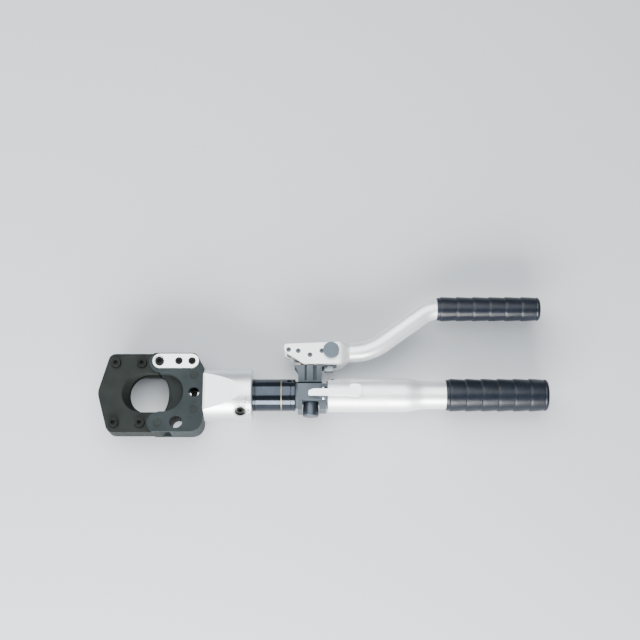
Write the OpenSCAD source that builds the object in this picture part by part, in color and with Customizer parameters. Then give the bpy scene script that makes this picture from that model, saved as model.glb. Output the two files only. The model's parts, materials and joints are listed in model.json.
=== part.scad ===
// Hand-operated hydraulic cable cutter with a guillotine head that swings open.
// Everything is drawn about the barrel axis (X along the tool, head towards -X, pumping handle
// on the +Y side) and then moved by placed() so that the origin is the bottom centre of the tool.

/* [Cutting head] */
// Clear height of the cable opening
opening_h = 55; // [52:0.5:56]
// Width of the jaw and yoke
head_w = 111; // [110:0.5:114]
// Thickness of the jaw between the yoke ears
jaw_t = 32; // [31:0.5:33]
// Thickness of the yoke over its ears
yoke_t = 44; // [43:0.5:45]
// Thickness of the sliding blade
blade_t = 9; // [8:0.5:9]
// Radius of the ground cutting edge
edge_r = 48; // [46:1:50]

/* [Hydraulic cylinder] */
// Radius of the nickel-plated head socket
socket_r = 36.75; // [36:0.25:38]
// Outer radius of the barrel
barrel_r = 22.4; // [22:0.1:22.8]
// Radius of the piston bore
bore_r = 16.5; // [16:0.1:17]
// Radius of the piston rod
rod_r = 11; // [10.5:0.1:11]
// Radius of the pump plunger
plunger_r = 5; // [4.5:0.1:5]

/* [Reservoir handle] */
// Radius of the reservoir body
reservoir_r = 23.8; // [23:0.1:24.5]
// Radius of the reservoir neck
neck_r = 19.7; // [18.5:0.1:20.5]
// Radius of the fixed rubber grip
grip_r = 23; // [21:0.25:24]

/* [Pumping handle] */
// Radius of the handle tube
tube_r = 14; // [13.5:0.25:14.25]
// Wall of the handle tube
tube_wall = 2.5; // [2:0.25:4]
// Angle of the cranked stretch of the tube
crank_angle = 36; // [34:1:37]
// Radius of the moving rubber grip
moving_grip_r = 17.5; // [16.5:0.25:18.5]

/* [Hidden] */
$fn = 96;

run = 0.05;          // radial clearance of a running fit
fit = 0.02;          // clearance of a seated fit
gap = 0.3;           // clearance between moving faces

// Head
half_w = head_w / 2;
half_open = opening_h / 2;
slot_h = blade_t / 2 + 0.2;      // half height of the blade slot
jaw_h = jaw_t / 2;
yoke_h = yoke_t / 2;
ear_z = jaw_h + 0.2;             // underside of the yoke ears
nose_x = -307.7;                 // tip of the jaw
nose_slope = 15.8;               // slope of the jaw's front edges from square
hinge = [-222.5, -43];
lock = [-222, 43];
knuckle_r = 12.5;
seat_r = 13;
ear_r = 14.5;
hinge_pin_r = 6.25;
lock_r = 7;
lock_flat = 4.5;                 // half thickness of the lock bolt between its flats
open_out_x = -274;               // left end of the opening at the outer face
open_in_x = -264;                // left end of the opening at the blade slot
yoke_arc_x = -215.5;             // centre of the yoke's part of the opening
yoke_back = -160.6;
blade_w = 60;
rail_y = blade_w / 2 + 0.3;      // inner side of the rails that guide the blade
blade_back = -183;
tongue_back = -164.5;
tongue_w = 18;
edge_cx = -210.3 - edge_r;       // centre of the concave edge
jaw_screw_x = [-283.6, -247.4];
jaw_screw_y = 42.3;
dowel_at = [-173.3, 24.3];
access_at = [-173.6, 0];
sling_at = [-197, -41.6];
sling_r = 8.75;
plate_x = [-231.3, -167.2];      // ends of the lock plate
plate_hw = 10;
plate_t = 5;
plate_screw_x = [-194.8, -176.5];
tenon_x = -186;                  // front of the socket's tenons
tenon_y = [14, 33];
tenon_z = [8, 14];

// Cylinder
socket_x = [yoke_back, -92.8];
socket_floor = -140.5;           // bottom of the socket's bore
flat_x = -106.7;                 // where the socket's sloping flats start
flat_slope = 11.2;
flat_lead = 3;                   // bevel at the front edge of each flat
grub_angle = 50;
grub_x = -108.8;
barrel_x = [-139.5, -33];
piston_x = [-50, -36.3];
gland_x = [-139.5, -131.5];
fork_end = -182;
bronze_x = -52.8;

// Pump block
block_x = [-30, 11];
plunger_x = -13.1;
chamber_y = -4;
relief_x = -12;
pivot = [5.6, 25];               // release lever pivot, X and Z
lug_y = [5.8, 7.6];              // faces of the lugs that carry the pivot
lever_y = [-7.5, 2.4];           // edges of the lever's narrow bar
stem_z = 14;                     // height of the release valve's axis
stem_seat = -20;                 // tip of the release stem
arm_t = 3.6;                     // thickness of the lever's arm, which pushes the stem
lever_z = [29, 32.5];
tower_y = [16, 40];
rib_gaps = [[-20.6, -17.4], [-8.8, -3.6]];
lug_h = 9.7;
fulcrum = [-29.5, 59.4];
drive = [-13.1, 53.6];
spacers = [[-42.9, 61], [3.5, 59.4]];
latch = [16.5, 59.7];
pin_r = 3.5;

// Handles
res_x = 11.6;
grip_x = [176.4, 319.2];
grip_pitch = 22.3;
fork_h = [11, 19];               // inner and outer faces of the fork cheeks
fork_tube_y = 61.6;
fork_y = [41, 72.4];             // lower and upper edges of the fork
neck_x = [28, 43];               // the fork's neck, from a square section to a round one
neck_steps = 8;
grip_y = 125.5;
tube_start = neck_x[1];
bend_r = [75, 50];
bend_corner = 69.7;              // X of the corner where the tube's first two straights cross
moving_grip_x = [167.3, 314];
crank_run = (grip_y - fork_tube_y) / sin(crank_angle);

// Middle of the whole tool, so that the origin is its bottom centre
centre_x = (nose_x + grip_x[1]) / 2;
centre_y = (grip_y + moving_grip_r - half_w) / 2;

module placed() translate([-centre_x, -centre_y, socket_r]) children();

// A solid turned about the barrel axis from [x, radius] points
module turned(points)
    rotate([0, 90, 0]) rotate_extrude() polygon([for (p = points) [p[1], p[0]]]);

module rod_x(x0, x1, r, y = 0, z = 0)
    translate([x0, y, z]) rotate([0, 90, 0]) cylinder(r = r, h = x1 - x0);

module rod_y(x, y0, y1, r, z = 0, r2 = undef)
    translate([x, y0, z]) rotate([-90, 0, 0]) cylinder(r1 = r, r2 = is_undef(r2) ? r : r2, h = y1 - y0);

module rod_z(at, z0, z1, r)
    translate([at[0], at[1], z0]) cylinder(r = r, h = z1 - z0);

module box(low, high) translate(low) cube(high - low);

module slab(z0, z1) translate([0, 0, z0]) linear_extrude(z1 - z0) children();

module mirrored_y() for (s = [1, -1]) scale([1, s, 1]) children();

module hex_socket(at, top, af, deep)
    translate([at[0], at[1], top - deep]) cylinder(r = af / sqrt(3), h = deep + 1, $fn = 6);

function unit(v) = v / norm(v);
function mix(a, b, t) = a + (b - a) * t;

// Arc of radius r that rounds the corner p between its neighbours a and b
function fillet(p, a, b, r, steps = 8) =
    let (u = unit(a - p), w = unit(b - p), half = acos(u * w) / 2,
         c = p + unit(u + w) * r / sin(half),
         t0 = p + u * r / tan(half) - c, t1 = p + w * r / tan(half) - c,
         a0 = atan2(t0[1], t0[0]), turn = (atan2(t1[1], t1[0]) - a0 + 540) % 360 - 180)
    [for (i = [0:steps]) c + r * [cos(a0 + turn * i / steps), sin(a0 + turn * i / steps)]];

// Outline through [x, y, corner radius] points
function rounded(pts) =
    let (n = len(pts), flat = [for (p = pts) [p[0], p[1]]])
    [for (i = [0:n - 1]) each (pts[i][2] == 0 ? [flat[i]]
        : fillet(flat[i], flat[(i + n - 1) % n], flat[(i + 1) % n], pts[i][2]))];

// Wire wound round Z from z = 0 up to the given length
module coil(r, wire, length, turns, per_turn = 16, sides = 6) {
    n = turns * per_turn;
    rise = (length - 2 * wire) / n;
    points = [for (i = [0:n], k = [0:sides - 1])
        let (a = 360 * i / per_turn, b = 360 * k / sides, q = r + wire * cos(b))
        [q * cos(a), q * sin(a), wire + i * rise + wire * sin(b)]];
    skin = [for (i = [0:n - 1], k = [0:sides - 1]) each
        let (p = i * sides + k, q = i * sides + (k + 1) % sides)
        [[p, q, q + sides], [p, q + sides, p + sides]]];
    first = [for (k = [1:sides - 2]) [0, k + 1, k]];
    last = [for (k = [1:sides - 2]) [n * sides, n * sides + k, n * sides + k + 1]];
    polyhedron(points, concat(skin, first, last));
}

// ---------------------------------------------------------------- jaw

module jaw_outline() {
    side_x = nose_x + half_w * tan(nose_slope);
    round_r = knuckle_r - 0.01;
    difference() {
        polygon(rounded([
            [nose_x, 0, 25], [side_x, half_w, 10],
            [lock[0] + knuckle_r, half_w, round_r], [lock[0] + knuckle_r, lock[1] - knuckle_r, round_r],
            [lock[0] - 2, lock[1] - knuckle_r, 0], [hinge[0] - 1.5, hinge[1] + knuckle_r, 0],
            [hinge[0] + knuckle_r, hinge[1] + knuckle_r, round_r], [hinge[0] + knuckle_r, -half_w, round_r],
            [side_x, -half_w, 10]]));
        translate(hinge) circle(hinge_pin_r + run);
        lock_mouth();
    }
}

// The open hook that lets the jaw leave the lock bolt, along an arc about the hinge
module lock_mouth() {
    reach = lock[1] - hinge[1];
    translate(lock) circle(lock_r + 0.1);
    intersection() {
        translate(hinge) difference() {
            circle(reach + lock_flat + gap + 0.2, $fn = 180);
            circle(reach - lock_flat - gap - 0.1, $fn = 180);
        }
        translate([lock[0], lock[1] - 10]) square([20, 20]);
    }
}

module opening_outline(left_x)
    polygon(rounded([[left_x, half_open, half_open - 0.3], [left_x, -half_open, half_open - 0.3],
                     [-190, -half_open, 0], [-190, half_open, 0]]));

// Flares from the blade slot to the outer face
module jaw_opening()
    hull() {
        slab(slot_h - 0.5, slot_h) opening_outline(open_in_x);
        slab(jaw_h, jaw_h + 0.5) opening_outline(open_out_x);
    }

module jaw_screw_places() for (x = jaw_screw_x, s = [1, -1]) translate([x, s * jaw_screw_y, 0]) children();

module jaw_cheek(counterbore) {
    difference() {
        slab(slot_h, jaw_h) jaw_outline();
        jaw_opening();
        jaw_screw_places() {
            translate([0, 0, slot_h - 1]) cylinder(r = 4 + fit, h = jaw_t);
            if (counterbore) translate([0, 0, jaw_h - 3]) cylinder(r = 7, h = 4);
        }
    }
}

module jaw_cheek_upper() color("#66675c") placed() jaw_cheek(true);
module jaw_cheek_lower() color("#66675c") placed() mirror([0, 0, 1]) jaw_cheek(false);

module jaw_rail(side) {
    difference() {
        slab(-slot_h, slot_h) intersection() {
            jaw_outline();
            translate([-320, side > 0 ? rail_y : -rail_y - 40]) square([130, 40]);
        }
        jaw_screw_places() translate([0, 0, -jaw_t]) cylinder(r = 4 + fit, h = 2 * jaw_t);
    }
}

module jaw_rail_latch_side() color("#5c5d53") placed() jaw_rail(1);
module jaw_rail_hinge_side() color("#5c5d53") placed() jaw_rail(-1);

module jaw_end_spacer() color("#5c5d53") placed()
    slab(-slot_h, slot_h) intersection() {
        jaw_outline();
        translate([-320, -rail_y]) square([39, 2 * rail_y]);
    }

module jaw_screws() color("#6f7068") placed()
    jaw_screw_places() difference() {
        union() {
            rod_z([0, 0], -jaw_h - 7, jaw_h - 3, 4);
            rod_z([0, 0], jaw_h - 3, jaw_h + 5, 6.5);
        }
        hex_socket([0, 0], jaw_h + 5, 6, 4);
    }

module jaw_nuts() color("#6f7068") placed()
    jaw_screw_places() difference() {
        translate([0, 0, -jaw_h - 6]) cylinder(r = 13 / sqrt(3), h = 6, $fn = 6);
        rod_z([0, 0], -jaw_h - 7, -jaw_h + 1, 4 + fit);
    }

// ---------------------------------------------------------------- yoke

// Yoke between the ears: it stops short of the jaw and its knuckles
module yoke_middle() {
    difference() {
        polygon(rounded([[lock[0] + 0.4, half_w, 0], [-172, half_w, 8], [yoke_back, 36, 3],
                         [yoke_back, -half_w, 17], [-205.5, -half_w, 0],
                         [hinge[0] + seat_r, hinge[1], 0], [hinge[0] + 0.6, hinge[1] + 6, 0]]));
        translate(hinge) circle(seat_r);
        translate(lock) circle(seat_r);
    }
}

// Yoke at the ears: it covers the jaw's knuckles
module yoke_face() {
    difference() {
        union() {
            polygon(rounded([[lock[0], half_w, 0], [-172, half_w, 8], [yoke_back, 36, 3],
                             [yoke_back, -half_w, 17], [hinge[0], -half_w, 0]]));
            translate(hinge) circle(ear_r);
            translate(lock) circle(ear_r);
        }
        // keeps the ears inside the width of the head
        for (s = [1, -1]) translate([-260, s > 0 ? half_w : -half_w - 10]) square([100, 10]);
    }
}

module yoke_holes(blind) {
    translate([yoke_arc_x, 0, -30]) cylinder(r = half_open, h = 60);
    box([-260, -half_open, -30], [yoke_arc_x, half_open, 30]);
    rod_z(sling_at, -30, 30, sling_r);
    rod_z(access_at, -30, 30, 7.3);
    rod_z(hinge, -30, 30, hinge_pin_r + fit);
    rod_z(lock, -30, blind ? yoke_h - 1.2 : 30, lock_r + run);
    mirrored_y() rod_z(dowel_at, -30, 30, 6 + fit);
    rod_x(-220, -150, rod_r + 0.6);
    mirrored_y() box([tenon_x - 0.2, tenon_y[0] - 0.2, tenon_z[0]],
                     [yoke_back + 1, tenon_y[1] + 0.2, tenon_z[1]]);
}

module yoke_cheek(blind)
    difference() {
        union() {
            slab(slot_h, ear_z) yoke_middle();
            slab(ear_z, yoke_h) yoke_face();
        }
        yoke_holes(blind);
        if (!blind) for (x = plate_screw_x) rod_z([x, lock[1]], 9, 30, 3 + fit);
    }

module yoke_cheek_upper() color("#717673") placed() yoke_cheek(false);
module yoke_cheek_lower() color("#717673") placed() mirror([0, 0, 1]) yoke_cheek(true);

module yoke_rails() color("#686d6b") placed()
    difference() {
        slab(-slot_h, slot_h) difference() {
            yoke_middle();
            translate([-260, -rail_y]) square([120, 2 * rail_y]);
        }
        rod_z(sling_at, -30, 30, sling_r);
    }

module yoke_dowels() color("#7e837f") placed()
    for (m = [0, 1]) mirror([0, 0, m]) mirrored_y() rod_z(dowel_at, slot_h + 0.5, yoke_h - 0.3, 6);

module hinge_pin() color("#7e837f") placed() rod_z(hinge, -yoke_h + 0.3, yoke_h - 0.3, hinge_pin_r);

module lock_plate() color("#d9dadb") placed()
    difference() {
        slab(yoke_h, yoke_h + plate_t) translate([0, lock[1]])
            polygon(rounded([for (c = [[0, -1], [1, -1], [1, 1], [0, 1]])
                             [plate_x[c[0]], c[1] * plate_hw, plate_hw - 0.01]]));
        rod_z(lock, 0, 40, 6 + 0.1);
        rod_z(lock, yoke_h + 2, 40, 7.6);
        for (x = plate_screw_x) {
            rod_z([x, lock[1]], 0, 40, 3 + fit);
            rod_z([x, lock[1]], yoke_h + 1.5, 40, 5.3);
        }
    }

module lock_plate_screws() color("#8b8d8e") placed()
    for (x = plate_screw_x) difference() {
        union() {
            rod_z([x, lock[1]], 10, yoke_h + 1.5, 3);
            rod_z([x, lock[1]], yoke_h + 1.5, yoke_h + plate_t - 0.4, 5);
        }
        hex_socket([x, lock[1]], yoke_h + plate_t - 0.4, 5, 2.3);
    }

// The lock bolt is cut to a double D between the ears, so that a quarter turn frees the jaw
module lock_bolt() color("#2c2d2e") placed()
    difference() {
        union() {
            rod_z(lock, -yoke_h + 1.4, yoke_h - gap, lock_r);
            rod_z(lock, yoke_h - 1, yoke_h + plate_t - 0.4, 6);
        }
        for (s = [1, -1]) box([lock[0] - 8, lock[1] + (s > 0 ? lock_flat : -lock_flat - 4), -ear_z],
                              [lock[0] + 8, lock[1] + (s > 0 ? lock_flat + 4 : -lock_flat), ear_z]);
        hex_socket(lock, yoke_h + plate_t - 0.4, 6, 4);
    }

// ---------------------------------------------------------------- head socket

module head_socket() color("#e2e2e0") placed() {
    x0 = socket_x[0];
    x1 = socket_x[1];
    difference() {
        union() {
            turned(rounded([[x0, 0, 0], [x0, socket_r - 1.2, 0], [x0 + 1.2, socket_r, 0], [x1, socket_r, 2],
                            [x1, 0, 0]]));
            for (m = [0, 1]) mirror([0, 0, m]) mirrored_y()
                box([tenon_x, tenon_y[0], tenon_z[0] + fit], [x0 + 1, tenon_y[1], tenon_z[1] - fit]);
        }
        // sloping flats above and below
        for (m = [0, 1]) mirror([0, 0, m]) translate([flat_x, 0, socket_r]) rotate([0, -flat_slope, 0])
            box([-80, -50, 0], [5, 50, 30]);
        for (m = [0, 1]) mirror([0, 0, m])
            translate([x0 + flat_lead, 0, socket_r - (flat_x - x0 - flat_lead) * tan(flat_slope)])
                rotate([0, -30, 0]) box([-20, -50, 0], [1, 50, 20]);
        rod_x(socket_floor, x1 + 1, barrel_r + run);
        rod_x(x0 - 30, x1, rod_r + 0.6);
        for (m = [0, 1]) mirror([0, 0, m]) mirrored_y() rod_z(dowel_at, 4, 20, 6 + fit);
        translate([grub_x, 0, 0]) rotate([grub_angle, 0, 0]) {
            cylinder(r = 5 + fit, h = 50);
            translate([0, 0, 32.4]) cylinder(r = 7.2, h = 10);
        }
    }
}

module socket_grub_screw() color("#4b4c4d") placed()
    translate([grub_x, 0, 0]) rotate([grub_angle, 0, 0]) difference() {
        union() {
            translate([0, 0, 21]) cylinder(r = 2.8, h = 4);
            translate([0, 0, 22.8]) cylinder(r = 5, h = 11.4);
        }
        hex_socket([0, 0], 34.2, 5, 4);
    }

module swivel_washer() color("#a98a54") placed()
    difference() {
        rod_x(socket_floor, barrel_x[0], 21);
        rod_x(socket_floor - 1, barrel_x[0] + 1, rod_r + 0.6);
    }

// ---------------------------------------------------------------- blade, rod and piston

module cutting_blade() color("#8e918d") placed()
    difference() {
        slab(-blade_t / 2, blade_t / 2) difference() {
            union() {
                translate([-235, -blade_w / 2]) square([blade_back + 235, blade_w]);
                translate([blade_back - 1, -tongue_w / 2]) square([tongue_back - blade_back + 1, tongue_w]);
            }
            translate([edge_cx, 0]) circle(edge_r, $fn = 180);
        }
        // ground bevels on both faces
        for (m = [0, 1]) mirror([0, 0, m]) translate([edge_cx, 0, 0.6])
            cylinder(r1 = edge_r, r2 = edge_r + 8, h = blade_t / 2, $fn = 180);
        rod_z(access_at, -10, 10, 3 + fit);
    }

module blade_screw() color("#a9abac") placed()
    difference() {
        union() {
            rod_z(access_at, -9, 6.4, 3);
            rod_z(access_at, 6.4, 9.4, 4.6);
        }
        hex_socket(access_at, 9.4, 4, 2);
    }

module piston_rod() color("#b9bbbc") placed()
    difference() {
        union() {
            rod_x(fork_end, piston_x[0], rod_r);
            rod_x(piston_x[0], piston_x[1] - 1, 8);
        }
        box([fork_end - 1, -20, -blade_t / 2 - run], [tongue_back + 0.5, 20, blade_t / 2 + run]);
        rod_z(access_at, -9, 20, 3 + fit);
        rod_z(access_at, 6.4, 20, 4.6 + fit);
    }

module piston() color("#a4a6a7") placed()
    turned([[piston_x[0], 8 + fit], [piston_x[0], bore_r - run], [piston_x[0] + 4, bore_r - run],
            [piston_x[0] + 4, 13.5], [piston_x[0] + 8, 13.5], [piston_x[0] + 8, bore_r - run],
            [piston_x[1], bore_r - run], [piston_x[1], 8 + fit]]);

module piston_seal() color("#202020") placed()
    turned([[piston_x[0] + 4.1, 13.5 + fit], [piston_x[0] + 4.1, bore_r - run],
            [piston_x[0] + 7.9, bore_r - run], [piston_x[0] + 7.9, 13.5 + fit]]);

module return_spring() color("#5f6468") placed()
    translate([gland_x[1] + fit, 0, 0]) rotate([0, 90, 0])
        coil(13.6, 1.4, piston_x[0] - gland_x[1] - 2 * fit, 7);

module rod_gland() color("#b08d57") placed()
    difference() {
        rod_x(gland_x[0], gland_x[1], bore_r - fit);
        rod_x(gland_x[0] - 1, gland_x[1] + 1, rod_r + run);
    }

module barrel() color("#1c1d20") placed()
    turned([[barrel_x[0], bore_r], [barrel_x[0], barrel_r], [grub_x - 3, barrel_r],
            [grub_x - 3, barrel_r - 1.8], [grub_x + 3, barrel_r - 1.8], [grub_x + 3, barrel_r],
            [-91.7, barrel_r], [-91.7, barrel_r + 0.8], [-90.2, barrel_r + 0.8],
            [-90.2, barrel_r - 0.4], [-89.3, barrel_r - 0.4], [-89.3, barrel_r + 0.8],
            [-87.8, barrel_r + 0.8], [-87.8, barrel_r],
            [bronze_x - 1, barrel_r], [bronze_x - 1, barrel_r - 1],
            [bronze_x + 1, barrel_r - 1], [bronze_x + 1, barrel_r],
            [-40.1, barrel_r], [-40.1, barrel_r - 0.6], [-39.2, barrel_r - 0.6], [-39.2, barrel_r],
            [barrel_x[1] - 1, barrel_r], [barrel_x[1], barrel_r - 1], [barrel_x[1], bore_r]]);

module barrel_ring() color("#a77b52") placed()
    turned([[bronze_x - 1, barrel_r - 1], [bronze_x - 1, barrel_r + 0.15],
            [bronze_x + 1, barrel_r + 0.15], [bronze_x + 1, barrel_r - 1]]);

// ---------------------------------------------------------------- pump block

// The tower carries the fulcrum lug and, on its right side, the lip that the latch hooks under
module tower()
    difference() {
        slab(-15, 15) polygon([[-29.5, tower_y[0] - 4], [-29.5, 30], [-31, 35], [-35, tower_y[1]],
                               [3.5, tower_y[1]], [6.6, tower_y[1]], [6.6, 38.4], [3.5, 38.4],
                               [3.5, tower_y[0] - 4]]);
        // channels between the three ribs, above and below, and a waist under the tower
        for (m = [0, 1]) mirror([0, 0, m]) {
            for (x = rib_gaps) box([x[0], tower_y[0] + 2, 8.5], [x[1], tower_y[1] + 1, 16]);
            box([-40, 11, 8.5], [10, tower_y[0], 16]);
        }
    }

module lug()
    slab(-lug_h, lug_h) union() {
        translate(fulcrum) circle(8);
        polygon([[-33, tower_y[1] - 2], [-20.8, tower_y[1] - 2], [fulcrum[0] + 8, fulcrum[1]],
                 [fulcrum[0] - 8, fulcrum[1]]]);
    }

module pump_block() color("#6d7880") placed()
    difference() {
        union() {
            box([block_x[0], -10, -20], [block_x[1], 12.5, 20]);
            box([block_x[0], -24, -18], [-24, -9, 18]);
            box([-0.2, -23, -16], [9.6, -9, 16]);
            rod_x(-36, barrel_x[1], bore_r - fit);
            rod_x(barrel_x[1], block_x[0] + 1, 19);
            rod_x(block_x[1] - 1, 22, 19.5 - fit);
            tower();
            lug();
            for (m = [0, 1]) mirror([0, m, 0])
                box([pivot[0] - 4.6, lug_y[0], 19], [pivot[0] + 4.6, lug_y[1], 28]);
        }
        rod_z(fulcrum, -20, 20, pin_r + run);
        rod_y(plunger_x, chamber_y, 60, plunger_r + run);
        rod_y(plunger_x, 26, 60, 7);
        rod_y(relief_x, -7, chamber_y + 2, 1.5);
        rod_y(relief_x, -30, -6.9, 3.2);
        // outlet and inlet check valves on the barrel axis
        rod_x(-37, -21, 3.5);
        rod_x(-22, plunger_x, 1.5);
        rod_x(plunger_x, -4, 1.5);
        rod_x(-5, 23, 3.5);
        // release valve
        rod_x(stem_seat + 1, 2, 3.6, 0, stem_z);
        rod_x(stem_seat - 3, 2, 1.2, 0, stem_z);
        rod_z([stem_seat - 2, 0], 0, stem_z, 1.2);
        box([pivot[0] - 5.2, -3.3, stem_z - 4.4], [pivot[0] + 2.6, 3.3, 21]);
        rod_y(pivot[0], -12, 12, 2 + fit, pivot[1]);
        res_screw_place() translate([0, 0, 16.4]) cylinder(r = 2.5 + fit, h = 10);
    }

module stop_pads() color("#b08d57") placed()
    for (m = [0, 1]) mirror([0, 0, m]) box([-34.4, tower_y[1], 10], [-26, tower_y[1] + 3, 15]);

module check_balls() color("#c9cbcd") placed() {
    translate([-23.7, 0, 0]) sphere(3);
    translate([3.3, 0, 0]) sphere(3);
}

module check_springs() color("#8d9196") placed() {
    translate([-32.9, 0, 0]) rotate([0, 90, 0]) coil(2.4, 0.4, 6.2, 4, 12, 5);
    translate([-4.9, 0, 0]) rotate([0, 90, 0]) coil(2.4, 0.4, 5.2, 4, 12, 5);
}

module outlet_retainer() color("#b9bbbc") placed()
    difference() {
        rod_x(-36, -33, 3.5 - fit);
        rod_x(-37, -32, 1.5);
    }

module inlet_seat() color("#b9bbbc") placed()
    difference() {
        rod_x(6, 12, 3.5 - fit);
        rod_x(5, 13, 1.5);
    }

module relief_cap() color("#34383d") placed()
    difference() {
        union() {
            rod_y(relief_x, -28, -10.2, 11.6, 0, 10.2);
            rod_y(relief_x, -30.5, -28, 10.4, 0, 11.6);
        }
        rod_y(relief_x, -26, -7, 3.2);
    }

module relief_ball() color("#c9cbcd") placed() translate([relief_x, -9.1, 0]) sphere(2.5);

module relief_spring() color("#8d9196") placed()
    translate([relief_x, -11.8, 0]) rotate([90, 0, 0]) coil(2.4, 0.5, 14, 6, 12, 5);

module release_gland() color("#8f9498") placed()
    difference() {
        rod_x(-3.2, 0.2, 3.6 - fit, 0, stem_z);
        rod_x(-4, 1, 2 + run, 0, stem_z);
    }

// The stem's collar takes the spring that holds the stem out against the lever's arm
module release_stem() color("#b9bbbc") placed() {
    rod_x(stem_seat + 2.2, pivot[0] - arm_t / 2 - 0.25, 2, 0, stem_z);
    rod_x(-5.2, -3.3, 3.6 - run, 0, stem_z);
}

module release_spring() color("#8d9196") placed()
    translate([stem_seat + 1.1, 0, stem_z]) rotate([0, 90, 0]) coil(2.8, 0.4, 13.6, 6, 12, 5);

module release_lever() color("#dcdcda") placed()
    difference() {
        union() {
            slab(lever_z[0], lever_z[1])
                polygon(rounded([[-15, -6.5, 1], [-15, -0.5, 2.5], [-8, lever_y[1], 6], [46, lever_y[1], 0],
                                 [46, lever_y[0], 0], [-12, lever_y[0], 2]]));
            slab(lever_z[0], lever_z[1] + 0.5)
                polygon(rounded([[42, -9, 3], [58, -9, 6], [58, 9, 6], [42, 9, 3]]));
            box([-14.8, -5.5, 20.3], [-12.6, -1.5, lever_z[0] + 1]);
            rod_y(pivot[0], -5.5, lever_y[1], 4.2, pivot[1]);
            box([pivot[0] - 4, -5.5, pivot[1]], [pivot[0] + 4, lever_y[1], lever_z[0] + 1]);
            translate([pivot[0], 0, 0])
                box([-arm_t / 2, -lever_y[1], stem_z - 3.4], [arm_t / 2, lever_y[1], pivot[1]]);
        }
        rod_y(pivot[0], -6, 6, 2 + run, pivot[1]);
    }

module release_lever_pin() color("#e6e6e6") placed() {
    rod_y(pivot[0], -8.6, lug_y[1], 2, pivot[1]);
    translate([pivot[0], -9.6, pivot[1]]) sphere(2.8);
}

module pump_plunger() color("#c2c4c5") placed()
    difference() {
        union() {
            rod_y(plunger_x, chamber_y + 1, 48, plunger_r);
            box([-18.9, 46, -6], [-6.7, 60.5, 6]);
        }
        // slotted eye: the drive pin swings about 1 mm sideways in it
        for (x = [-13.2, -12.05]) rod_z([x, drive[1]], -10, 10, pin_r + 0.25);
        box([-13.2, drive[1] - pin_r - 0.25, -10], [-12.05, drive[1] + pin_r + 0.25, 10]);
    }

module plunger_bush() color("#b08d57") placed()
    difference() {
        rod_y(plunger_x, 30, 40.5, 7 - fit);
        rod_y(plunger_x, 29, 42, plunger_r + run);
    }

module plunger_seal() color("#202020") placed()
    difference() {
        rod_y(plunger_x, 26.5, 29.5, 7 - fit);
        rod_y(plunger_x, 26, 30, plunger_r + run);
    }

// ---------------------------------------------------------------- reservoir and fixed grip

shoulder = [117.6, 147];         // ends of the reservoir's taper
function taper(x) =
    let (t = (x - shoulder[0]) / (shoulder[1] - shoulder[0]))
    (reservoir_r - neck_r) * (1 + cos(180 * t)) / 2;

module reservoir_body() color("#cfd0cf") placed() difference() {
    curve = [for (i = [0:8]) shoulder[0] + (shoulder[1] - shoulder[0]) * i / 8];
    turned(concat(
        [[res_x, 19.5], [res_x, reservoir_r - 0.8], [res_x + 0.8, reservoir_r]],
        [for (x = curve) [x, neck_r + taper(x)]],
        [[grip_x[0], neck_r], [grip_x[0], bore_r], [308, bore_r], [308, 13.5]],
        [[shoulder[1] + 10, 13.5]],
        [for (i = [8:-1:0]) [curve[i] - 1, neck_r - 3.2 + taper(curve[i])]],
        [[22.4, reservoir_r - 3.2], [22.4, 19.5]]));
    res_screw_place() cylinder(r = 2.5 + fit, h = 30);
}

// Radial screw that locks the reservoir on the pump block's spigot
module res_screw_place() translate([18.2, 0, 0]) rotate([-55, 0, 0]) children();

module reservoir_grub_screw() color("#4b4c4d") placed()
    res_screw_place() difference() {
        translate([0, 0, 16.5]) cylinder(r = 2.5, h = 6.2);
        hex_socket([0, 0], 22.7, 2.5, 2);
    }

module oil_bladder() color("#3a3432") placed()
    turned([[22.4, 5], [22.4, 19.2], [114, 19.2], [146, 12.5], [165, 12.5],
            [165, 0], [163, 0], [163, 10.5], [145, 10.5], [113, 17.2], [24.4, 17.2], [24.4, 5]]);

module reservoir_end_plug() color("#8f9498") placed()
    difference() {
        union() {
            rod_x(298, 308, 13.5 - fit);
            rod_x(308, 311.5, bore_r - 0.5);
        }
        translate([311.5, 0, 0]) rotate([0, 90, 0]) hex_socket([0, 0], 0, 8, 5);
    }

module fixed_grip() color("#18191b") placed() {
    rings = [for (i = [1:6]) grip_x[0] + 4 + grip_pitch * i];
    turned(concat(
        [[grip_x[0], bore_r + fit], [grip_x[0], grip_r - 1.4], [grip_x[0] + 1, grip_r - 0.6]],
        [for (x = rings) each [[x - 1.4, grip_r - 1], [x, grip_r]]],
        [[grip_x[1] - 3.2, grip_r - 1], [grip_x[1] - 0.9, grip_r - 4], [grip_x[1], grip_r - 9],
         [grip_x[1], 0], [312, 0], [312, bore_r + fit]]));
}

// ---------------------------------------------------------------- pumping handle

module fork_outline()
    polygon(rounded([[-49, fork_y[1] - 3.2, 3], [-49, 59, 5], [-34, 49.5, 12], [-22, fork_y[0], 8],
                     [neck_x[0], fork_y[0], 0], [neck_x[0], fork_y[1], 0]]));

module fork_pins(r) {
    for (p = concat(spacers, [fulcrum, drive])) rod_z(p, -20, 20, r);
}

// Outline of the neck, at 0 square like the fork and at 1 round like the tube
function neck_slice(t) =
    let (s = t * t * (3 - 2 * t),
         high = mix(fork_h[1] - 0.05, tube_r, s),
         wide = mix((fork_y[1] - fork_y[0]) / 2 - 0.05, tube_r, s),
         r = mix(0.8, tube_r - 0.1, s),
         y = mix((fork_y[0] + fork_y[1]) / 2, fork_tube_y, s))
    [for (p = rounded([[wide, high, r], [-wide, high, r], [-wide, -high, r], [wide, -high, r]]))
        [mix(neck_x[0] - 0.1, neck_x[1], t), y + p[0], p[1]]];

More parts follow.
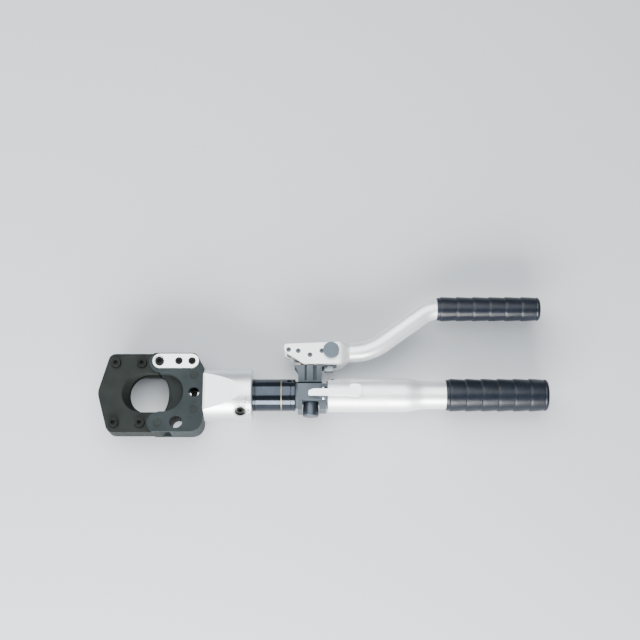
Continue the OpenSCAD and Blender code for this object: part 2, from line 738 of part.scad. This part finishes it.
module neck() {
    rings = [for (i = [0:neck_steps]) neck_slice(i / neck_steps)];
    n = len(rings[0]);
    last = neck_steps * n;
    skin = [for (i = [0:neck_steps - 1], k = [0:n - 1]) each
        let (p = i * n + k, q = i * n + (k + 1) % n)
        [[p, q + n, q], [p, p + n, q + n]]];
    ends = [for (k = [1:n - 2]) each [[0, k, k + 1], [last, last + k + 1, last + k]]];
    polyhedron([for (r = rings) each r], concat(skin, ends));
}

module handle_fork() color("#d3d4d3") placed()
    difference() {
        union() {
            for (m = [0, 1]) mirror([0, 0, m]) slab(fork_h[0], fork_h[1]) fork_outline();
            slab(-fork_h[1], fork_h[1]) intersection() {
                fork_outline();
                translate([24.6, 30]) square([20, 50]);
            }
            neck();
            rod_x(neck_x[1] - 1, neck_x[1] + 7, tube_r - tube_wall - 0.3, fork_tube_y);
        }
        fork_pins(pin_r + fit);
        rod_z(latch, -30, 30, 4 + run);
    }

// The cranked tube's centre line as [x, y, heading]: straight, bend, sloping straight, bend, straight
function tube_path(steps) =
    let (cut = [for (b = bend_r) b * tan(crank_angle / 2)],
         x1 = bend_corner - cut[0],
         x2 = bend_corner + crank_run * cos(crank_angle) + cut[1],
         turn = [for (i = [0:steps]) crank_angle * i / steps])
    concat([[tube_start, fork_tube_y, 0]],
           [for (a = turn) [x1 + bend_r[0] * sin(a), fork_tube_y + bend_r[0] * (1 - cos(a)), a]],
           [for (i = [steps:-1:0]) let (a = turn[i])
               [x2 - bend_r[1] * sin(a), grip_y - bend_r[1] * (1 - cos(a)), a]],
           [[306, grip_y, 0]]);

module handle_tube() color("#d0d1d0") placed() {
    sides = 28;
    path = tube_path(6);
    n = len(path) - 1;
    ring = 2 * sides;
    points = [for (p = path, r = [tube_r, tube_r - tube_wall], k = [0:sides - 1])
        let (b = 360 * k / sides)
        [p[0] - r * cos(b) * sin(p[2]), p[1] + r * cos(b) * cos(p[2]), r * sin(b)]];
    skin = [for (i = [0:n - 1], k = [0:sides - 1]) each
        let (p = i * ring + k, q = i * ring + (k + 1) % sides)
        [[p, q + ring, q], [p, p + ring, q + ring],
         [p + sides, q + sides, q + sides + ring], [p + sides, q + sides + ring, p + sides + ring]]];
    caps = [for (k = [0:sides - 1]) each
        let (p = k, q = (k + 1) % sides, e = n * ring)
        [[p, q, q + sides], [p, q + sides, p + sides],
         [e + p, e + q + sides, e + q], [e + p, e + p + sides, e + q + sides]]];
    polyhedron(points, concat(skin, caps));
}

module moving_grip() color("#18191b") placed() {
    ribs = [for (i = [1:5]) moving_grip_x[0] + 4 + 23 * i];
    translate([0, grip_y, 0]) turned(concat(
        [[moving_grip_x[0] + 8, tube_r + 0.7], [moving_grip_x[0], tube_r + 0.7],
         [moving_grip_x[0], moving_grip_r - 0.8],
         [moving_grip_x[0] + 1, moving_grip_r - 0.3]],
        [for (x = ribs) each [[x - 1.4, moving_grip_r - 0.6], [x, moving_grip_r]]],
        [[moving_grip_x[1] - 3, moving_grip_r - 0.6], [moving_grip_x[1] - 0.9, moving_grip_r - 3],
         [moving_grip_x[1], moving_grip_r - 7], [moving_grip_x[1], 0], [308, 0], [308, tube_r + fit],
         [moving_grip_x[0] + 8, tube_r + fit]]));
}

module socket_pin(at, r, top, af)
    difference() {
        rod_z(at, -fork_h[1], top, r);
        hex_socket(at, top, af, 2.5);
    }

module fulcrum_pin() color("#8b8d8e") placed() socket_pin(fulcrum, pin_r, fork_h[1], 3.5);
module drive_pin() color("#8b8d8e") placed() socket_pin(drive, pin_r, fork_h[1], 3.5);
module spacer_bolts() color("#8b8d8e") placed() for (p = spacers) socket_pin(p, pin_r, fork_h[1], 3.5);

module fulcrum_washers() color("#b08d57") placed()
    for (m = [0, 1]) mirror([0, 0, m]) difference() {
        rod_z(fulcrum, lug_h + 0.1, fork_h[0], 7.5);
        rod_z(fulcrum, 0, 20, pin_r + fit);
    }

module latch_knob() color("#80878d") placed() {
    rod_z(latch, fork_h[1] + 0.4, fork_h[1] + 6.4, 11.2);
    rod_z(latch, -fork_h[1] + 0.2, fork_h[1] + 1, 4);
}

module latch_hook() color("#7b838a") placed()
    difference() {
        slab(-6, 6) union() {
            translate(latch) circle(7);
            polygon([[latch[0] - 5, latch[1]], [10.5, 40], [10.5, 37], [7.4, 35.8], [7.4, 34],
                     [9, 33], [19.2, 33], [19.2, 44], [latch[0] + 6.9, latch[1]]]);
        }
        rod_z(latch, -20, 20, 4 + fit);
    }

jaw_cheek_upper();
jaw_cheek_lower();
jaw_rail_latch_side();
jaw_rail_hinge_side();
jaw_end_spacer();
jaw_screws();
jaw_nuts();
yoke_cheek_upper();
yoke_cheek_lower();
yoke_rails();
yoke_dowels();
hinge_pin();
lock_plate();
lock_plate_screws();
lock_bolt();
head_socket();
socket_grub_screw();
swivel_washer();
cutting_blade();
blade_screw();
piston_rod();
piston();
piston_seal();
return_spring();
rod_gland();
barrel();
barrel_ring();
pump_block();
stop_pads();
check_balls();
check_springs();
outlet_retainer();
inlet_seat();
relief_cap();
relief_ball();
relief_spring();
release_gland();
release_stem();
release_spring();
release_lever();
release_lever_pin();
pump_plunger();
plunger_bush();
plunger_seal();
reservoir_body();
reservoir_grub_screw();
oil_bladder();
reservoir_end_plug();
fixed_grip();
handle_fork();
handle_tube();
moving_grip();
fulcrum_pin();
fulcrum_washers();
drive_pin();
spacer_bolts();
latch_knob();
latch_hook();
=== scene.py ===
"""Looks of the hydraulic cable cutter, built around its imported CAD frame. Metres, in the CAD's own frame."""

import json
import math

import bmesh
import bpy
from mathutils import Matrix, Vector


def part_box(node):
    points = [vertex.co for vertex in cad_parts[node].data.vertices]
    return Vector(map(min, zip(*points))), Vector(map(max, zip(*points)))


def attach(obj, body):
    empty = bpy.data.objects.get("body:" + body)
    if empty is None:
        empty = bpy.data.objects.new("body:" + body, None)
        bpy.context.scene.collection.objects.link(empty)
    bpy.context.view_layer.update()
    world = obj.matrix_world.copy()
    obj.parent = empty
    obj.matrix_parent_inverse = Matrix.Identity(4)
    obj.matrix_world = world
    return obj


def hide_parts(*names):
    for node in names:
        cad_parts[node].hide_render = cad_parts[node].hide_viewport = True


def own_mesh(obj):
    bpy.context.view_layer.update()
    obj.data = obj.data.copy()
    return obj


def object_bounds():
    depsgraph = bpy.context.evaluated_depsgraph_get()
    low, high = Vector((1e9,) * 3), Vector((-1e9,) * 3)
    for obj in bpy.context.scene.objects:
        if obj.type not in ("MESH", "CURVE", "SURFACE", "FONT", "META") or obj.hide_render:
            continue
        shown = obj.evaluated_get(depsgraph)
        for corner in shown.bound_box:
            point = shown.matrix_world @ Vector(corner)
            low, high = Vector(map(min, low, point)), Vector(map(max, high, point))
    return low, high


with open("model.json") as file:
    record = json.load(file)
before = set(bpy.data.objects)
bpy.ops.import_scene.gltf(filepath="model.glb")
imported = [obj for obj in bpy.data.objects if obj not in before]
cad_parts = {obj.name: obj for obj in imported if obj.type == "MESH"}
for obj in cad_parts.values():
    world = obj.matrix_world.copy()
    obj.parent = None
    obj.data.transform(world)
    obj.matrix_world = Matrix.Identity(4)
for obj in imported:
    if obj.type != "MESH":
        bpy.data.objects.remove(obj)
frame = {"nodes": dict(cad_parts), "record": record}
cad_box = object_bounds()
nodes = frame["nodes"]
slots = {s["node"]: s["material_slot"] for s in frame["record"]["subparts"]}
scene = bpy.context.scene
MM = 0.001


# ---------------------------------------------------------------- places taken from the frame

def middle(node):
    low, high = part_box(node)
    return (low + high) / 2


AXIS = middle("barrel")                      # a point on the barrel's axis
FLOOR_Z = cad_box[0][2]


# ---------------------------------------------------------------- camera, lights and floor

def aim(obj, target):
    obj.rotation_euler = (Vector(target) - obj.location).to_track_quat("-Z", "Y").to_euler()


def add_camera():
    """Looks down at the tool from in front, a little off vertical."""
    data = bpy.data.cameras.new("camera")
    data.lens = 67.2
    data.sensor_width = 36
    data.clip_start = 0.05
    camera = bpy.data.objects.new("camera", data)
    scene.collection.objects.link(camera)
    height, front, beyond, x = 1.635, 0.363, 0.1095, -0.0048
    camera.location = (x, AXIS.y - front, AXIS.z + height)
    aim(camera, (x, AXIS.y + beyond, AXIS.z))
    scene.camera = camera


def add_softbox(name, at, size, radiance, colour=(1, 1, 1)):
    data = bpy.data.lights.new(name, "AREA")
    data.shape = "RECTANGLE"
    data.size, data.size_y = size
    data.energy = radiance * math.pi * size[0] * size[1]
    data.color = colour
    light = bpy.data.objects.new(name, data)
    scene.collection.objects.link(light)
    light.location = at
    aim(light, (0, AXIS.y, AXIS.z))


def add_lights():
    add_softbox("overhead", (-0.25, 0.48, 1.65), (2.0, 2.0), 4.4, (0.97, 0.985, 1.0))
    add_softbox("front_panel", (-0.28, -1.5, 0.66), (2.0, 0.85), 23.0, (1.0, 0.995, 0.985))
    add_softbox("left_fill", (-1.6, 0.5, 0.8), (0.7, 0.8), 4.0)
    world = bpy.data.worlds.new("studio")
    scene.world = world
    world.use_nodes = True
    world.node_tree.nodes["Background"].inputs["Color"].default_value = (0.84, 0.91, 1.0, 1)
    world.node_tree.nodes["Background"].inputs["Strength"].default_value = 0.5


def add_floor():
    mesh = bpy.data.meshes.new("floor")
    reach = 4.0
    corners = [(x * reach, y * reach, FLOOR_Z) for x, y in ((-1, -1), (1, -1), (1, 1), (-1, 1))]
    mesh.from_pydata(corners, [], [(0, 1, 2, 3)])
    floor = bpy.data.objects.new("floor", mesh)
    scene.collection.objects.link(floor)
    material = bpy.data.materials.new("floor")
    material.use_nodes = True
    shader = material.node_tree.nodes["Principled BSDF"]
    shader.inputs["Base Color"].default_value = (0.54, 0.56, 0.58, 1)
    shader.inputs["Roughness"].default_value = 0.9
    shader.inputs["Specular IOR Level"].default_value = 0.1
    mesh.materials.append(material)


# ---------------------------------------------------------------- materials

class Surface:
    """A Principled material with short ways to wire the nodes behind it."""

    def __init__(self, name, metallic=0.0, **sockets):
        self.material = bpy.data.materials.new(name)
        self.material.use_nodes = True
        tree = self.material.node_tree
        self.nodes, self.links = tree.nodes, tree.links
        self.shader = self.nodes["Principled BSDF"]
        self.shader.inputs["Metallic"].default_value = metallic
        for socket, value in sockets.items():
            self.shader.inputs[socket.replace("_", " ")].default_value = value
        self.place = self.nodes.new("ShaderNodeTexCoord").outputs["Object"]

    def noise(self, scale, detail=3.0, stretch=(1, 1, 1)):
        mapping = self.nodes.new("ShaderNodeMapping")
        mapping.inputs["Scale"].default_value = stretch
        texture = self.nodes.new("ShaderNodeTexNoise")
        texture.inputs["Scale"].default_value = scale
        texture.inputs["Detail"].default_value = detail
        self.links.new(self.place, mapping.inputs["Vector"])
        self.links.new(mapping.outputs["Vector"], texture.inputs["Vector"])
        return texture.outputs["Fac"]

    def spread(self, value, low, high, middle_range=(0.3, 0.7)):
        """Carries the middle range of a value, such as a noise, to low..high."""
        node = self.nodes.new("ShaderNodeMapRange")
        node.inputs["From Min"].default_value = middle_range[0]
        node.inputs["From Max"].default_value = middle_range[1]
        node.inputs["To Min"].default_value = low
        node.inputs["To Max"].default_value = high
        self.links.new(value, node.inputs["Value"])
        return node.outputs["Result"]

    def math(self, kind, first, second):
        node = self.nodes.new("ShaderNodeMath")
        node.operation = kind
        for socket, value in zip(node.inputs, (first, second)):
            if isinstance(value, (int, float)):
                socket.default_value = value
            else:
                self.links.new(value, socket)
        return node.outputs["Value"]

    def blend(self, factor, first, second):
        """Mixes two colours, each a colour or another node's output."""
        node = self.nodes.new("ShaderNodeMix")
        node.data_type = "RGBA"
        self.links.new(factor, node.inputs["Factor"])
        for index, colour in ((6, first), (7, second)):
            if isinstance(colour, tuple):
                node.inputs[index].default_value = (*colour, 1)
            else:
                self.links.new(colour, node.inputs[index])
        return node.outputs[2]

    def edges(self, radius, low=0.02, high=0.35):
        """1 on edges that wear, 0 on open faces."""
        bevel = self.nodes.new("ShaderNodeBevel")
        bevel.samples = 6
        bevel.inputs["Radius"].default_value = radius
        geometry = self.nodes.new("ShaderNodeNewGeometry")
        dot = self.nodes.new("ShaderNodeVectorMath")
        dot.operation = "DOT_PRODUCT"
        self.links.new(bevel.outputs["Normal"], dot.inputs[0])
        self.links.new(geometry.outputs["Normal"], dot.inputs[1])
        return self.spread(dot.outputs["Value"], 0, 1, (1 - low, 1 - high))

    def near(self, point, radius):
        """1 at a point, falling to 0 at the radius."""
        away = self.nodes.new("ShaderNodeVectorMath")
        away.operation = "DISTANCE"
        away.inputs[1].default_value = point
        self.links.new(self.place, away.inputs[0])
        return self.spread(away.outputs["Value"], 1, 0, (0.0, radius))

    def colour(self, value):
        self.links.new(value, self.shader.inputs["Base Color"])

    def roughness(self, value):
        self.links.new(value, self.shader.inputs["Roughness"])

    def bump(self, height, strength, distance=0.0002):
        node = self.nodes.new("ShaderNodeBump")
        node.inputs["Strength"].default_value = strength
        node.inputs["Distance"].default_value = distance
        self.links.new(height, node.inputs["Height"])
        self.links.new(node.outputs["Normal"], self.shader.inputs["Normal"])


def phosphated(name, dark, light, worn, specular=0.12):
    """Matt phosphate coating: mottled, fine-grained, rubbed along its edges and scuffed here and there."""
    s = Surface(name, metallic=0.0, Specular_IOR_Level=specular)
    base = s.blend(s.spread(s.noise(60, 6), 0, 1), dark, light)
    scuffs = s.math("MULTIPLY", s.spread(s.noise(420, 6, (1, 3, 1)), 0, 1, (0.60, 0.72)),
                    s.spread(s.noise(28, 2), 0, 0.45, (0.5, 0.65)))
    wear = s.math("MAXIMUM", s.math("MULTIPLY", s.edges(0.0007), s.spread(s.noise(140, 4), 0.25, 1)), scuffs)
    s.colour(s.blend(wear, base, worn))
    s.roughness(s.spread(s.noise(240, 4), 0.48, 0.66))
    s.bump(s.noise(1500, 2), 0.3)
    return s.material


def plated(name, colour, rough, stretch=(1, 1, 1), grain=500, metallic=1.0, grain_depth=0.05,
           smudge=0.06, grime_and_shade=()):
    """Bright metal with a faint grain, which stretch turns into turned or brushed lines, and smudges."""
    s = Surface(name, metallic=metallic)
    tint = tuple(c * 0.93 for c in colour)
    base = s.blend(s.spread(s.noise(35, 4), 0, 1), colour, tint)
    shine = s.math("ADD", s.spread(s.noise(grain, 3, stretch), rough * 0.85, rough * 1.15),
                   s.spread(s.noise(22, 3), -smudge, smudge))
    # Each entry darkens the colour round a point with specks. It is real dirt, except where an entry stands
    # for the shade in a screw's hole, which is painted shade.
    for point, radius, dirt_and_shade, low in grime_and_shade:
        specks = s.spread(s.noise(700, 4), low, 1, (0.45, 0.58))
        patch = s.math("MULTIPLY", s.spread(s.near(point, radius), 0, 1, (0.05, 0.4)),
                       s.spread(s.noise(110, 3), low, 1, (0.42, 0.6)))
        patch = s.math("MULTIPLY", patch, specks)
        base = s.blend(patch, base, dirt_and_shade)
        shine = s.math("ADD", shine, s.math("MULTIPLY", patch, 0.15))
    s.colour(base)
    s.roughness(shine)
    s.bump(s.noise(grain * 1.6, 2, stretch), grain_depth, 0.0001)
    return s.material


def enamel(name, colour, rough, worn=None, metallic=0.0, coat=0.6):
    s = Surface(name, metallic=metallic, Coat_Weight=coat, Coat_Roughness=0.1)
    shade = tuple(min(1, c * 1.35 + 0.002) for c in colour)
    base = s.blend(s.spread(s.noise(55, 4), 0, 1), colour, shade)
    s.colour(base if worn is None else s.blend(s.edges(0.0005, 0.05, 0.5), base, worn))
    s.roughness(s.spread(s.noise(180, 4), rough * 0.8, rough * 1.3))
    s.bump(s.noise(900, 2), 0.05)
    return s.material


def rubber(name, colour, rough):
    s = Surface(name, metallic=0.0, Specular_IOR_Level=0.35)
    shade = tuple(c * 1.6 for c in colour)
    dust = tuple(c * 1.2 + 0.006 for c in colour)
    base = s.blend(s.spread(s.noise(60, 5), 0, 1), colour, shade)
    s.colour(s.blend(s.spread(s.noise(160, 6), 0, 0.5, (0.55, 0.75)), base, dust))
    s.roughness(s.spread(s.noise(300, 4), rough * 0.85, rough * 1.25))
    s.bump(s.noise(1800, 3), 0.18)
    return s.material


TURNED = (60, 1, 1)                          # grain in rings about X
SCREW_HEAD = middle("socket_grub_screw") + MM * Vector((0, -5, 4))
# First a speckled grey smudge of dirt beside the grub screw, then a near-black disc round the screw, which is
# painted shade of its hole.
SOCKET_GRIME_AND_SHADE = [(SCREW_HEAD + MM * Vector((6, 4, 4)), 0.021, (0.13, 0.15, 0.165), 0.3),
                (SCREW_HEAD, 0.0118, (0.025, 0.028, 0.024), 0.9)]

MATERIALS = {
    "phosphated_jaw": phosphated(
        "phosphated_jaw", (0.0096, 0.012, 0.0108), (0.0132, 0.0162, 0.0147), (0.042, 0.047, 0.044)),
    "phosphated_yoke": phosphated(
        "phosphated_yoke", (0.0150, 0.0202, 0.0212), (0.0202, 0.0268, 0.0282), (0.055, 0.066, 0.068)),
    "ground_steel": plated("ground_steel", (0.36, 0.39, 0.38), 0.34, (1, 30, 1)),
    "blackened_steel": phosphated(
        "blackened_steel", (0.0125, 0.0155, 0.0145), (0.019, 0.023, 0.022), (0.10, 0.11, 0.10)),
    "nickel": plated("nickel", (0.84, 0.85, 0.86), 0.38, smudge=0.05, grime_and_shade=SOCKET_GRIME_AND_SHADE),
    "black_steel": enamel("black_steel", (0.030, 0.037, 0.047), 0.13, metallic=1.0, coat=0.1),
    "dark_fastener": phosphated(
        "dark_fastener", (0.006, 0.007, 0.0065), (0.011, 0.013, 0.012), (0.06, 0.065, 0.06), 0.08),
    "bright_fastener": plated("bright_fastener", (0.065, 0.073, 0.080), 0.34),
    "polished_steel": plated("polished_steel", (0.72, 0.73, 0.74), 0.14),
    "bronze": plated("bronze", (0.24, 0.215, 0.17), 0.40),
    "rubber_black": rubber("rubber_black", (0.0025, 0.0045, 0.009), 0.32),
    "seal_black": rubber("seal_black", (0.012, 0.012, 0.012), 0.45),
    "block_grey": phosphated(
        "block_grey", (0.056, 0.071, 0.084), (0.072, 0.088, 0.102), (0.14, 0.16, 0.175), 0.25),
    "cap_black": enamel(
        "cap_black", (0.042, 0.052, 0.066), 0.32, (0.10, 0.11, 0.12), metallic=0.7, coat=0.12),
    "satin_aluminium": plated("satin_aluminium", (0.93, 0.935, 0.94), 0.42, TURNED, metallic=0.75),
    "cast_aluminium": plated("cast_aluminium", (0.86, 0.865, 0.86), 0.5, grain_depth=0.16, metallic=0.7),
    "knob_grey": phosphated(
        "knob_grey", (0.070, 0.093, 0.110), (0.084, 0.107, 0.125), (0.14, 0.165, 0.18), 0.3),
    # Lighter than the knob's grey, to make up for the shade the handle's casting throws on the hook: painted
    # light.
    "hook_painted_light_grey": plated("hook_painted_light_grey", (0.24, 0.275, 0.30), 0.45),
    "spring_steel": plated("spring_steel", (0.30, 0.31, 0.33), 0.30),
}


# ---------------------------------------------------------------- CAD nodes kept as they are

PAINTED_LIGHT_MATERIALS = {"latch_hook": "hook_painted_light_grey"}       # nodes whose material is toned apart from their slot's to make up for the shade they get: painted light


def finish_node(node, bevel, angle):
    """Gives a CAD node its material and, through modifiers, clean flat faces with small rounded edges."""
    obj = nodes[node]
    mesh = obj.data
    mesh.materials.clear()
    mesh.materials.append(MATERIALS[PAINTED_LIGHT_MATERIALS.get(node, slots[node])])
    if "custom_normal" in mesh.attributes:
        mesh.attributes.remove(mesh.attributes["custom_normal"])
    for polygon in mesh.polygons:
        polygon.material_index = 0
        polygon.use_smooth = True
    weld = obj.modifiers.new("weld", "WELD")
    weld.merge_threshold = 2e-6
    flat = obj.modifiers.new("flat", "DECIMATE")
    flat.decimate_type = "DISSOLVE"
    flat.angle_limit = math.radians(0.5)
    if bevel:
        edge = obj.modifiers.new("edge", "BEVEL")
        edge.width = bevel
        edge.segments = 2
        edge.limit_method = "ANGLE"
        edge.angle_limit = math.radians(angle)
        edge.use_clamp_overlap = True
    normals = obj.modifiers.new("normals", "WEIGHTED_NORMAL")
    normals.keep_sharp = True


BEVEL_ANGLES = {"head_socket": 8}
BEVELS = {"head_socket": 0.0004, "handle_fork": 0.0014, "pump_block": 0.0008, "lock_plate": 0.0009,
          "release_lever": 0.0009, "relief_cap": 0.0006, "latch_knob": 0.0007, "latch_hook": 0.0006,
          "jaw_cheek_upper": 0.0008, "jaw_cheek_lower": 0.0008, "yoke_cheek_upper": 0.0008,
          "yoke_cheek_lower": 0.0008}


# ---------------------------------------------------------------- pieces that stand for plain CAD solids

def add_piece(name, points, faces, slot, body, replaced, sharp=30):
    mesh = bpy.data.meshes.new(name)
    mesh.from_pydata(points, [], faces)
    skin = bmesh.new()
    skin.from_mesh(mesh)
    bmesh.ops.recalc_face_normals(skin, faces=skin.faces)
    skin.to_mesh(mesh)
    skin.free()
    for polygon in mesh.polygons:
        polygon.use_smooth = True
    mesh.set_sharp_from_angle(angle=math.radians(sharp))
    mesh.materials.append(MATERIALS[slot])
    piece = bpy.data.objects.new(name, mesh)
    scene.collection.objects.link(piece)
    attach(piece, body)
    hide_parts(replaced)
    return piece


def rings(rows, sides, closed):
    """Faces of a skin over rows of points; a row is its first index and how many points it has."""
    faces = []
    pairs = list(zip(rows, rows[1:] + rows[:1])) if closed else list(zip(rows, rows[1:]))
    for (a, count_a), (b, count_b) in pairs:
        for k in range(sides):
            n = (k + 1) % sides
            if count_a == 1 and count_b == 1:
                continue
            if count_a == 1:
                faces.append((a, b + n, b + k))
            elif count_b == 1:
                faces.append((a + k, a + n, b))
            else:
                faces.append((a + k, a + n, b + n, b + k))
    return faces


def lathe(name, profile, centre, slot, body, replaced, sides=112):
    """Closed solid turned about an axis along X, from (x, radius) points in order round its section."""
    points, rows = [], []
    for x, r in profile:
        rows.append((len(points), 1 if r == 0 else sides))
        for k in range(1 if r == 0 else sides):
            a = 2 * math.pi * k / sides
            points.append((x, centre.y + r * math.cos(a), centre.z + r * math.sin(a)))
    return add_piece(name, points, rings(rows, sides, True), slot, body, replaced)


def ribbed_grip(name, node, body, first_rib, pitch, ribs, depth, bore, mouth, mouth_depth):
    """Moulded sleeve with a closed end: each rib is high at its handle end and swells down to the next."""
    low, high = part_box(node)
    x0, x1, radius = low.x, high.x, (high.z - low.z) / 2
    steps = 14
    outer = [(x0, radius - depth - 1.0 * MM), (x0 + 0.5 * MM, radius - depth - 0.3 * MM),
             (x0 + 1.2 * MM, radius - depth)]
    for rib in range(ribs):
        start = x0 + first_rib + pitch * rib
        end = min(start + pitch, x1 - 7 * MM)
        if rib == 0:
            outer.append((start - 0.8 * MM, radius - depth))
        for i in range(steps + 1):
            u = i / steps
            rise = min(1, u * 9)
            swell = rise * (2 - rise) - 0.95 * max(0, (u - 0.1) / 0.9) ** 1.25
            outer.append((start + (end - start) * u, radius - depth * (1 - max(0.0, swell))))
        outer.append((end + 0.3 * MM, radius - depth * 1.15))
    bead = x1 - 5.5 * MM
    outer += [(bead - 0.6 * MM, radius - depth * 1.2), (bead, radius - depth * 0.9)]
    curve = 4.5 * MM
    for i in range(9):
        a = math.pi / 2 * i / 8
        outer.append((x1 - curve + curve * math.sin(a), radius - depth * 0.6 - curve * (1 - math.cos(a))))
    dish = radius * 0.55
    outer += [(x1, dish), (x1 - 0.8 * MM, dish - 1.0 * MM), (x1 - 0.8 * MM, 0)]
    end_wall = x1 - 7 * MM
    step = x0 + mouth_depth
    inner = [(end_wall, 0), (end_wall, bore), (step, bore), (step, mouth), (x0, mouth)]
    return lathe(name, outer + inner, middle(node), "rubber_black", body, node)


CRANK = math.radians(36)                     # slope of the cranked stretch
BEND_RADII = (75 * MM, 50 * MM)
FIRST_CORNER = 26.7 * MM                     # from the tube's start to the corner of its first bend
TUBE_WALL = 2.5 * MM


def cranked_path():
    """Centre line of the handle tube: points and headings, straight, bend, slope, bend, straight."""
    low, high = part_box("handle_tube")
    radius = (high.z - low.z) / 2
    y0, y1 = low.y + radius, high.y - radius
    run = (y1 - y0) / math.sin(CRANK)
    cuts = [r * math.tan(CRANK / 2) for r in BEND_RADII]
    first = low.x + FIRST_CORNER - cuts[0]
    last = low.x + FIRST_CORNER + run * math.cos(CRANK) + cuts[1]
    steps = 20
    turn = [CRANK * i / steps for i in range(steps + 1)]
    path = [(low.x, y0, 0.0)]
    path += [(first + BEND_RADII[0] * math.sin(a), y0 + BEND_RADII[0] * (1 - math.cos(a)), a) for a in turn]
    path += [(last - BEND_RADII[1] * math.sin(a), y1 - BEND_RADII[1] * (1 - math.cos(a)), a)
             for a in reversed(turn)]
    path.append((high.x, y1, 0.0))
    return path, radius, (low.z + high.z) / 2


def cranked_tube():
    path, radius, z = cranked_path()
    sides = 80
    points, rows = [], []
    for wall_radius, course in ((radius, path), (radius - TUBE_WALL, path[::-1])):
        for x, y, heading in course:
            rows.append((len(points), sides))
            for k in range(sides):
                b = 2 * math.pi * k / sides
                across = wall_radius * math.cos(b)
                points.append((x - across * math.sin(heading), y + across * math.cos(heading),
                               z + wall_radius * math.sin(b)))
    add_piece("cranked_tube", points, rings(rows, sides, True), "satin_aluminium", "handle", "handle_tube",
              sharp=40)


def compressing_spring(name, node, body, wire, turns):
    """A coil along X, fitted to the node's box, that moves whole with the body."""
    low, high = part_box(node)
    centre = middle(node)
    coil_radius = (high.z - low.z) / 2 - wire
    per_turn, sides = 32, 10
    count = turns * per_turn
    rise = (high.x - low.x - 2 * wire) / count
    points, rows = [], []
    for i in range(count + 1):
        a = 2 * math.pi * i / per_turn
        rows.append((len(points), sides))
        for k in range(sides):
            b = 2 * math.pi * k / sides
            r = coil_radius + wire * math.cos(b)
            x = low.x + wire * (1 + math.sin(b)) + rise * i
            points.append((x, centre.y + r * math.sin(a), centre.z - r * math.cos(a)))
    faces = rings(rows, sides, False) + [tuple(range(sides)), tuple(range(rows[-1][0], len(points)))]
    spring = add_piece(name, points, faces, slots[node], body, node)
    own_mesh(spring)


# ---------------------------------------------------------------- start

add_camera()
add_lights()
add_floor()
for name in nodes:
    finish_node(name, BEVELS.get(name, 0.0003), BEVEL_ANGLES.get(name, 32))
ribbed_grip("fixed_grip_sleeve", "fixed_grip", "pump_body", first_rib=4.0 * MM, pitch=22.3 * MM, ribs=6,
            depth=1.35 * MM, bore=16.55 * MM, mouth=16.55 * MM, mouth_depth=5 * MM)
ribbed_grip("moving_grip_sleeve", "moving_grip", "handle", first_rib=4.0 * MM, pitch=23.0 * MM, ribs=6,
            depth=1.1 * MM, bore=14.05 * MM, mouth=14.7 * MM, mouth_depth=8 * MM)
cranked_tube()
compressing_spring("return_coil", "return_spring", "blade_ram", wire=1.4 * MM, turns=7)
compressing_spring("release_coil", "release_spring", "release_stem", wire=0.4 * MM, turns=6)
